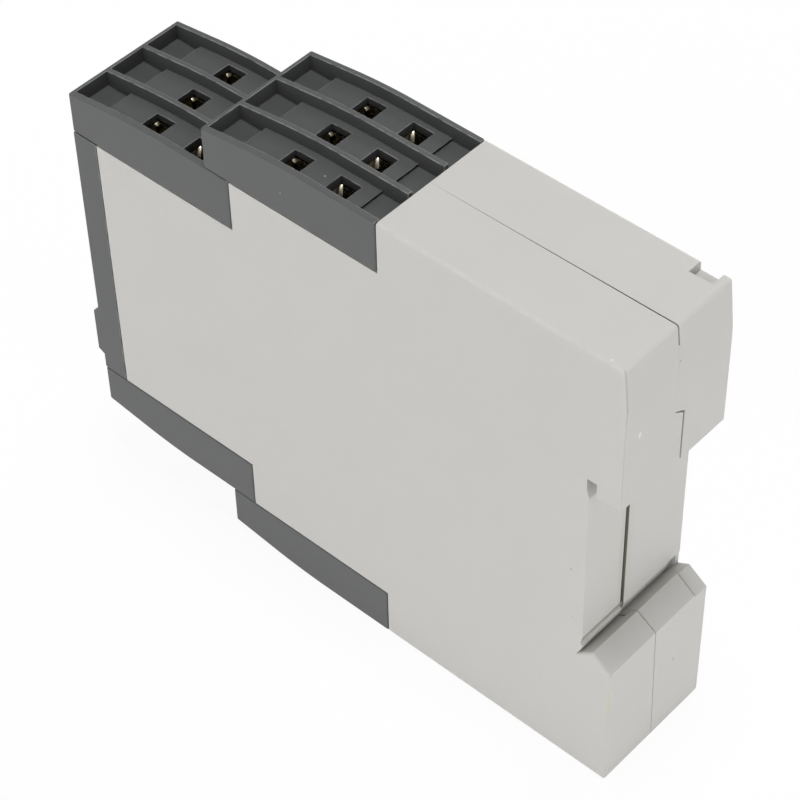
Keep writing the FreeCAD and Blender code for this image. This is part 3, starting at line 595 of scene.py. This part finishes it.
def over_groove(face, low, high):
    """Right of the seam, above the foot's groove, between two heights and facing back."""
    middle = face.calc_center_median()
    depth, height = from_rear(middle)
    return (face.normal.y > mostly and middle.x > foot_seam[0] and groove_lip[0] < depth < groove_floor[0]
            and low < height < high)


def on_ridge(face):
    """The rolled ridge between scoop and groove."""
    return over_groove(face, ridge_roll[-1][0], ridge_top)


def in_scoop(face):
    """The scoop's upper wall."""
    return over_groove(face, *scoop_span) and face.normal.z < scoop_lean


def is_at(place, corner):
    """Whether a depth and height are a corner's."""
    return (Vector(place) - Vector(corner)).length < same_place


def carve_ridge(bm):
    """Carves the right shell's scoop and hook ledge, rolls the ridge, and opens the seam at its end."""
    for v in bm.verts:
        depth, height = from_rear(v.co)
        if is_at((depth, height), scoop_corner):
            v.co.y, v.co.z = rear_face - scoop_carved[0], middle_height + scoop_carved[1]
        elif abs(height - ridge_top) < same_place and depth < groove_floor[0]:
            v.co.z = middle_height + ridge_roll[0][0]
        elif is_at((depth, height), hook_ledge):
            v.co.z = middle_height + hook_ramp
        if abs(v.co.x - foot_seam[0]) < same_place and groove_floor[1] < height < foot_seam_top:
            v.co.x = foot_seam[1]
    bm.normal_update()
    cut_levels(bm, [level for level, depth in ridge_roll[1:-1]], on_ridge)
    cut_levels(bm, [shade[1] for shade in scoop_shades[:-1]], in_scoop)
    ridge = {v for f in bm.faces if on_ridge(f) for v in f.verts}
    for v in ridge:
        height = from_rear(v.co)[1]
        for (high, near), (low, far) in zip(ridge_roll, ridge_roll[1:]):
            if low <= height <= high:
                v.co.y = rear_face - (near + (far - near) * (high - height) / (high - low))
    bm.normal_update()


def painted_shade_amount(face, node):
    """Share of painted shade on a shell's face: in the slot, on the foot's slope and cheek line, in the
    groove under the hook, down the hook's near edge and in the scoop.
    """
    middle = face.calc_center_median()
    depth, height = from_rear(middle)
    on_right = node == "right_shell"
    if seam_band[0] < middle.x < seam_band[1] and slot_depth[0] < depth < slot_depth[1]:
        low_end = foot_seam[0] < middle.x < slot_foot[0] and height < slot_foot[1]
        return float(abs(face.normal.x) > square_on or face.normal.z > square_on or low_end)
    if on_foot_slope(face):
        return cheek_shade if cheek_line[0] - weld < middle.x < cheek_line[1] else slope_shade
    if face.normal.y > mostly and hook_ledge[1] < height < hook_top and depth > slot_depth[0]:
        return hook_shade
    if on_right and face.normal.y > face.normal.x > slightly and height > hook_ledge[1]:
        return rear_line_shade
    if on_right and in_scoop(face):
        return next((shade for high, low, shade in scoop_shades if low < height < high), 0.0)
    return 0.0


def shell_piece(node):
    """Housing shell: carved foot, crisp seam, other edges eased, and the long upper ones painted a little
    paler, as wear and painted highlight; painted shade in its slot, on its foot, under its hook and in its
    scoop.
    """
    bm = welded_form(node)
    carve_groove(bm)
    if node == "right_shell":
        carve_ridge(bm)
    else:
        cut_faces(bm, on_foot_slope, (cheek_line[1], 0, 0), (1, 0, 0))
    ease(bm, housing_edge, lambda edge: not in_seam(edge), clamp=False)
    pale_paint = bm.faces.layers.float["edge_highlight_wear_and_print"]
    painted_shade = bm.faces.layers.float.new("painted_shade_share")
    for face in bm.faces:
        long_edge = abs(face.normal.x) > slightly and abs(face.normal.z) > slightly
        # Long upper edges painted paler: wear and painted highlight.
        face[pale_paint] = float(long_edge and from_rear(face.calc_center_median())[1] > 0)
        # Painted shade in the slot, on the foot, under the hook and in the scoop.
        face[painted_shade] = painted_shade_amount(face, node)
    mesh_piece(node + "_finished", bm, [finishes[slots[node]]], node)


def eased_piece(node, size, finish):
    """The node's form with its outer edges rounded."""
    bm = welded_form(node)
    ease(bm, size)
    mesh_piece(node + "_finished", bm, [finish], node)


def block_piece(node):
    """Terminal block: rounded along its sides, its rims and ribs painted paler as wear and painted highlight,
    and painted shade on the walls down in its pockets.
    """
    low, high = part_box(node)
    side = high.x
    bm = welded_form(node)

    def on_side(edge):
        return all(abs(abs(v.co.x) - side) < weld for v in edge.verts)

    ease(bm, block_side_edge, on_side, segments=3)
    pale_paint = bm.faces.layers.float["edge_highlight_wear_and_print"]
    for face in bm.faces:
        face[pale_paint] = 0.0
    ease(bm, terminal_edge)
    painted_shade = bm.faces.layers.float.new("painted_shade_share")
    # Painted shade on the walls down in the pockets.
    for face in bm.faces:
        middle = face.calc_center_median()
        inside = abs(middle.x) < side - pocket_wall and low.y + pocket_wall < middle.y < high.y
        if inside and abs(face.normal.z) < partly and not face[pale_paint]:
            face[painted_shade] = pocket_shade
    mesh_piece(node + "_finished", bm, [finishes[slots[node]]], node)


def islands(bm):
    """Separate closed forms of a piece, each a list of faces."""
    left = set(bm.faces)
    while left:
        found = [left.pop()]
        for face in found:
            for other in {f for e in face.edges for f in e.link_faces} & left:
                left.remove(other)
                found.append(other)
        yield found


def wound_piece(node, axis, reach, second):
    """Wound part: the forms that reach far along an axis get the second finish."""
    bm = welded_form(node)
    ease(bm, small_edge)
    for faces in islands(bm):
        places = [v.co[axis] for f in faces for v in f.verts]
        if max(places) - min(places) > reach:
            for face in faces:
                face.material_index = 1
    mesh_piece(node + "_finished", bm, [finishes[slots[node]], second], node)


def capacitor_piece(node):
    """Sleeved cans with bare metal tops."""
    bm = welded_form(node)
    ease(bm, small_edge)
    for face in bm.faces:
        face.material_index = int(face.normal.x > square_on)
    mesh_piece(node + "_finished", bm, [finishes[slots[node]], can_top], node)


def knob_piece(node):
    """Adjusting knob with a painted pointer."""
    face_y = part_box(node)[0].y
    bm = welded_form(node)
    ease(bm, small_edge)
    painted = bm.faces.layers.float["edge_highlight_wear_and_print"]
    for face in bm.faces:
        depth = face.calc_center_median().y - face_y
        face[painted] = float(face.normal.y < -square_on and pointer_floor[0] < depth < pointer_floor[1])
    mesh_piece(node + "_finished", bm, [finishes[slots[node]]], node)


def add_thread(bm, x, z, start, end):
    """Threaded bar along the depth, with a tapered tip."""
    before = set(bm.verts)
    place = Matrix.Translation((x, (start + end) / 2, z)) @ Matrix.Rotation(-math.pi / 2, 4, "X")
    made = bmesh.ops.create_cone(bm, cap_ends=True, cap_tris=False, segments=thread_sides,
                                 radius1=thread_outer, radius2=thread_outer, depth=end - start, matrix=place)
    lengthwise = each_once(e for v in made["verts"] for e in v.link_edges
                           if abs(e.verts[0].co.y - e.verts[1].co.y) > weld)
    rows = round((end - start) / thread_pitch * thread_rows)
    bmesh.ops.subdivide_edges(bm, edges=lengthwise, cuts=rows - 1, use_grid_fill=True)
    for v in set(bm.verts) - before:
        angle = math.atan2(v.co.z - z, v.co.x - x)
        phase = ((v.co.y - start) / thread_pitch - angle / math.tau) % 1.0
        radius = thread_inner + (thread_outer - thread_inner) * (1 - abs(2 * phase - 1))
        radius *= min(1.0, thread_tip + (1 - thread_tip) * (end - v.co.y) / thread_lead)
        v.co.x = x + radius * math.cos(angle)
        v.co.z = z + radius * math.sin(angle)


def screw_piece(node):
    """Terminal screw: its slotted head, and a cut thread in place of the plain shank."""
    low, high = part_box(node)
    under_head = low.y + screw_head
    bm = welded_form(node)
    bmesh.ops.bisect_plane(bm, geom=bm.verts[:] + bm.edges[:] + bm.faces[:], plane_co=(0, under_head, 0),
                           plane_no=(0, 1, 0), dist=weld, clear_outer=True)
    bmesh.ops.holes_fill(bm, edges=[e for e in bm.edges if e.is_boundary], sides=0)
    ease(bm, metal_edge)
    add_thread(bm, (low.x + high.x) / 2, (low.z + high.z) / 2, under_head - thread_pitch / 2, high.y)
    bmesh.ops.recalc_face_normals(bm, faces=bm.faces)
    mesh_piece(node + "_finished", bm, [finishes[slots[node]]], node)


def cut_teeth(bm, face_y, low, high):
    """Presses a row of teeth into the tongue faces that lie in one plane."""
    rows = int((high - low) / tooth_pitch) * 2
    step = (high - low) / rows
    for i in range(1, rows):
        level = low + i * step
        cut = bmesh.ops.bisect_plane(bm, geom=bm.verts[:] + bm.edges[:] + bm.faces[:], plane_co=(0, 0, level),
                                     plane_no=(0, 0, 1), dist=weld)
        if i % 2:
            for v in cut["geom_cut"]:
                if isinstance(v, bmesh.types.BMVert) and abs(v.co.y - face_y) < weld:
                    v.co.y -= tooth_depth


def add_ear(bm, corner, length, turn, slope, down):
    """Small ear bent out of a tongue's top corner, sloping down into the wire chamber."""
    level = math.cos(slope)
    along = Vector((level * math.sin(turn), level * math.cos(turn), down * math.sin(slope)))
    across = Vector((-math.cos(turn), math.sin(turn), 0))
    upright = across.cross(along)
    turned = Matrix((across, along, upright)).transposed().to_4x4()
    size = Matrix.Diagonal((ear_width / 2, length / 2, ear_thick / 2, 1.0))
    centre = corner + along * (length / 2 - ear_inset)
    made = bmesh.ops.create_cube(bm, size=2.0, matrix=Matrix.Translation(centre) @ turned @ size)
    edges = each_once(e for v in made["verts"] for e in v.link_edges)
    bmesh.ops.bevel(bm, geom=edges, offset=ear_round, offset_type="OFFSET", affect="EDGES",
                    segments=2, profile=0.5, clamp_overlap=True, material=-1)


def bus_bar_piece(tier):
    """Strips of one tier, with toothed tongues and their ears."""
    node = tier + "_bus_bars"
    low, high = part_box(node)
    bm = welded_form(node)
    ease(bm, metal_edge)
    upper = tier.startswith("upper")
    cages = [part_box("%s_cage_%d" % (tier, i)) for i in (1, 2, 3)]
    cage_low, cage_high = cages[0]
    # Strips past the cages take the darker brass copy, a painted shade.
    for face in bm.faces:
        height = face.calc_center_median().z
        past_cages = height < cage_low.z - strip_gap if upper else height > cage_high.z + strip_gap
        face.material_index = int(past_cages)
    tip, base, down = (high.z, cage_low.z, -1) if upper else (low.z, cage_high.z, 1)
    toothed = sorted((tip + 2 * down * metal_edge, base - down * metal_edge))
    tongue_faces = [low.y + tongue_thick + i * tongue_pitch for i in range(len(ears))]
    for face_y in tongue_faces:
        cut_teeth(bm, face_y, *toothed)
    for cage in cages:
        middle = (cage[0].x + cage[1].x) / 2
        for face_y, (length, turn, slope, behind) in zip(tongue_faces, ears):
            corner = Vector((middle - ear_from_middle, face_y + behind, tip + down * ear_thick / 2))
            add_ear(bm, corner, length, turn, slope, down)
    bmesh.ops.recalc_face_normals(bm, faces=bm.faces)
    mesh_piece(node + "_finished", bm, [finishes[slots[node]], shaded_strip_brass], node)


edge_sizes = {
    "dark_grey_plastic": terminal_edge,
    "yellow_passivated_steel": metal_edge,
    "zinc_steel": metal_edge,
}
for tier in tiers:
    bus_bar_piece(tier)
for node in nodes:
    if slots[node] == "light_grey_plastic":
        shell_piece(node)
    elif "_screw_" in node:
        screw_piece(node)
    elif slots[node] == "knob_plastic":
        knob_piece(node)
    elif slots[node] == "relay_magnet":
        wound_piece(node, 2, flange_reach, coil_wire)
    elif slots[node] == "transformer_steel":
        wound_piece(node, 1, core_reach, stacked_sheets)
    elif slots[node] == "capacitor_can":
        capacitor_piece(node)
    elif node.endswith("_block"):
        block_piece(node)
    elif slots[node] != "tinned_brass":
        finish = front_plate if node == "front_bezel" else finishes[slots[node]]
        eased_piece(node, edge_sizes.get(slots[node], small_edge), finish)


# Stage, light and camera

def make_floor():
    """Pale floor that shows as white and keeps a soft shadow."""
    bm = bmesh.new()
    bmesh.ops.create_grid(bm, x_segments=1, y_segments=1, size=floor_half)
    mesh = bpy.data.meshes.new("floor")
    bm.to_mesh(mesh)
    bm.free()
    floor = bpy.data.objects.new("floor", mesh)
    bpy.context.scene.collection.objects.link(floor)
    made, tree, shader = new_material("pale_floor")
    shader.inputs["Base Color"].default_value = grey(floor_shade)
    shader.inputs["Roughness"].default_value = floor_roughness
    glow = add_node(tree, "ShaderNodeEmission", {"Color": grey(1.0), "Strength": 1.0})
    rays = add_node(tree, "ShaderNodeLightPath").outputs
    seen = calc(tree, "MAXIMUM", rays["Is Camera Ray"], rays["Is Glossy Ray"])
    seen = calc(tree, "MAXIMUM", seen, rays["Is Transmission Ray"])
    share = calc(tree, "MULTIPLY", seen, floor_glow)
    mix = add_node(tree, "ShaderNodeMixShader", {0: share, 1: shader.outputs[0], 2: glow.outputs[0]})
    tree.links.new(mix.outputs[0], tree.nodes["Material Output"].inputs["Surface"])
    mesh.materials.append(made)


def area_light(name, centre, offset, size, power):
    """Square lamp that faces the middle of the housing."""
    lamp = bpy.data.lights.new(name, "AREA")
    lamp.shape = "SQUARE"
    lamp.size = size
    lamp.energy = power
    holder = bpy.data.objects.new(name, lamp)
    bpy.context.scene.collection.objects.link(holder)
    holder.location = centre + offset
    holder.rotation_euler = (-offset).to_track_quat("-Z", "Y").to_euler()


def make_light():
    """Lamps round the housing, and a faint sky that shows as white."""
    centre = (cad_box[0] + cad_box[1]) / 2
    for name, lamp in lamps.items():
        area_light(name, centre, *lamp)
    world = bpy.data.worlds.new("studio")
    world.use_nodes = True
    bpy.context.scene.world = world
    sky = world.node_tree.nodes["Background"]
    sky.inputs["Color"].default_value = grey(1.0)
    seen = add_node(world.node_tree, "ShaderNodeLightPath").outputs["Is Camera Ray"]
    world.node_tree.links.new(calc(world.node_tree, "MAXIMUM", seen, sky_strength), sky.inputs["Strength"])


def make_camera():
    """Camera at the photograph's place and angle."""
    data = bpy.data.cameras.new("camera")
    data.sensor_width = sensor_width
    data.lens = focal_pixels / image_width * sensor_width
    data.clip_start = nearest_seen
    camera = bpy.data.objects.new("camera", data)
    bpy.context.scene.collection.objects.link(camera)
    ahead = (camera_aim - camera_place).to_track_quat("-Z", "Y").to_matrix()
    rolled = ahead @ Matrix.Rotation(camera_roll, 3, "Z")
    camera.matrix_world = Matrix.Translation(camera_place) @ rolled.to_4x4()
    bpy.context.scene.camera = camera


make_floor()
make_light()
make_camera()
bpy.context.scene.view_settings.view_transform = "Standard"
